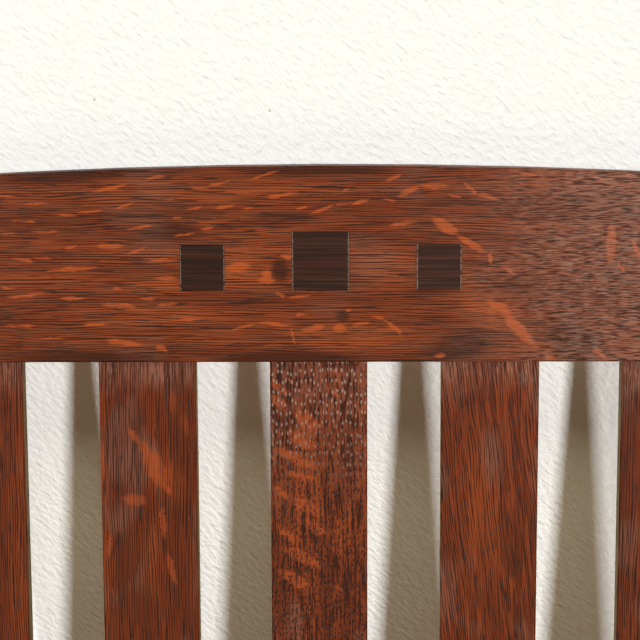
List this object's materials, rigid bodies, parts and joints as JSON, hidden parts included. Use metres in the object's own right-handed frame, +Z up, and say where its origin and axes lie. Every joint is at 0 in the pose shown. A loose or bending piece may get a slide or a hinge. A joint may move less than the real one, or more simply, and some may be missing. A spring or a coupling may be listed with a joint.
{
  "type": "mission settle",
  "caption": "Oak settle with a canted, slatted back under an arched and pegged crest rail, slatted sides, flat arms on corbels and a lift-out leather seat.",
  "frame": {"origin": "middle of the settle's bounding box, at the floor", "axes": "+X along the seat to the right as seen from the front, +Y from the front to the back, +Z up"},
  "size_m": [1.4784, 0.8284, 0.9615],
  "materials": {
    "stained_oak": "satin",
    "peg_ebony": "satin",
    "frame_hardwood": "matte",
    "leather": "satin",
    "webbing": "matte",
    "glide_nylon": "matte"
  },
  "bodies": {
    "frame": {"arm_left": "stained_oak", "arm_rail_left": "stained_oak", "arm_rail_right": "stained_oak", "arm_right": "stained_oak", "back_post_left": "stained_oak", "back_post_right": "stained_oak", "back_seat_rail": "stained_oak", "back_slat_01": "stained_oak", "back_slat_02": "stained_oak", "back_slat_03": "stained_oak", "back_slat_04": "stained_oak", "back_slat_05": "stained_oak", "back_slat_06": "stained_oak", "back_slat_07": "stained_oak", "back_slat_08": "stained_oak", "back_slat_09": "stained_oak", "back_slat_10": "stained_oak", "back_slat_11": "stained_oak", "cleat_back": "frame_hardwood", "cleat_front": "frame_hardwood", "corbel_back_left": "stained_oak", "corbel_back_right": "stained_oak", "corbel_front_left": "stained_oak", "corbel_front_right": "stained_oak", "corner_blocks": "frame_hardwood", "crest_peg_centre": "peg_ebony", "crest_peg_left": "peg_ebony", "crest_peg_right": "peg_ebony", "crest_rail": "stained_oak", "foot_glides": "glide_nylon", "front_post_left": "stained_oak", "front_post_right": "stained_oak", "front_seat_rail": "stained_oak", "joint_pegs": "peg_ebony", "lower_back_rail": "stained_oak", "seat_bearers": "frame_hardwood", "side_bottom_rail_left": "stained_oak", "side_bottom_rail_right": "stained_oak", "side_cleats": "frame_hardwood", "side_seat_rail_left": "stained_oak", "side_seat_rail_right": "stained_oak", "side_slat_left_1": "stained_oak", "side_slat_left_2": "stained_oak", "side_slat_left_3": "stained_oak", "side_slat_left_4": "stained_oak", "side_slat_left_5": "stained_oak", "side_slat_right_1": "stained_oak", "side_slat_right_2": "stained_oak", "side_slat_right_3": "stained_oak", "side_slat_right_4": "stained_oak", "side_slat_right_5": "stained_oak"},
    "seat": {"seat_frame_back": "frame_hardwood", "seat_frame_cross": "frame_hardwood", "seat_frame_front": "frame_hardwood", "seat_frame_left": "frame_hardwood", "seat_frame_right": "frame_hardwood", "seat_pad": "leather", "seat_webbing": "webbing"}
  },
  "joints": [
    {"name": "seat_lift", "type": "slide", "parent": "frame", "child": "seat", "axis": [0, 0, 1], "range_m": [0, 0.12]}
  ]
}
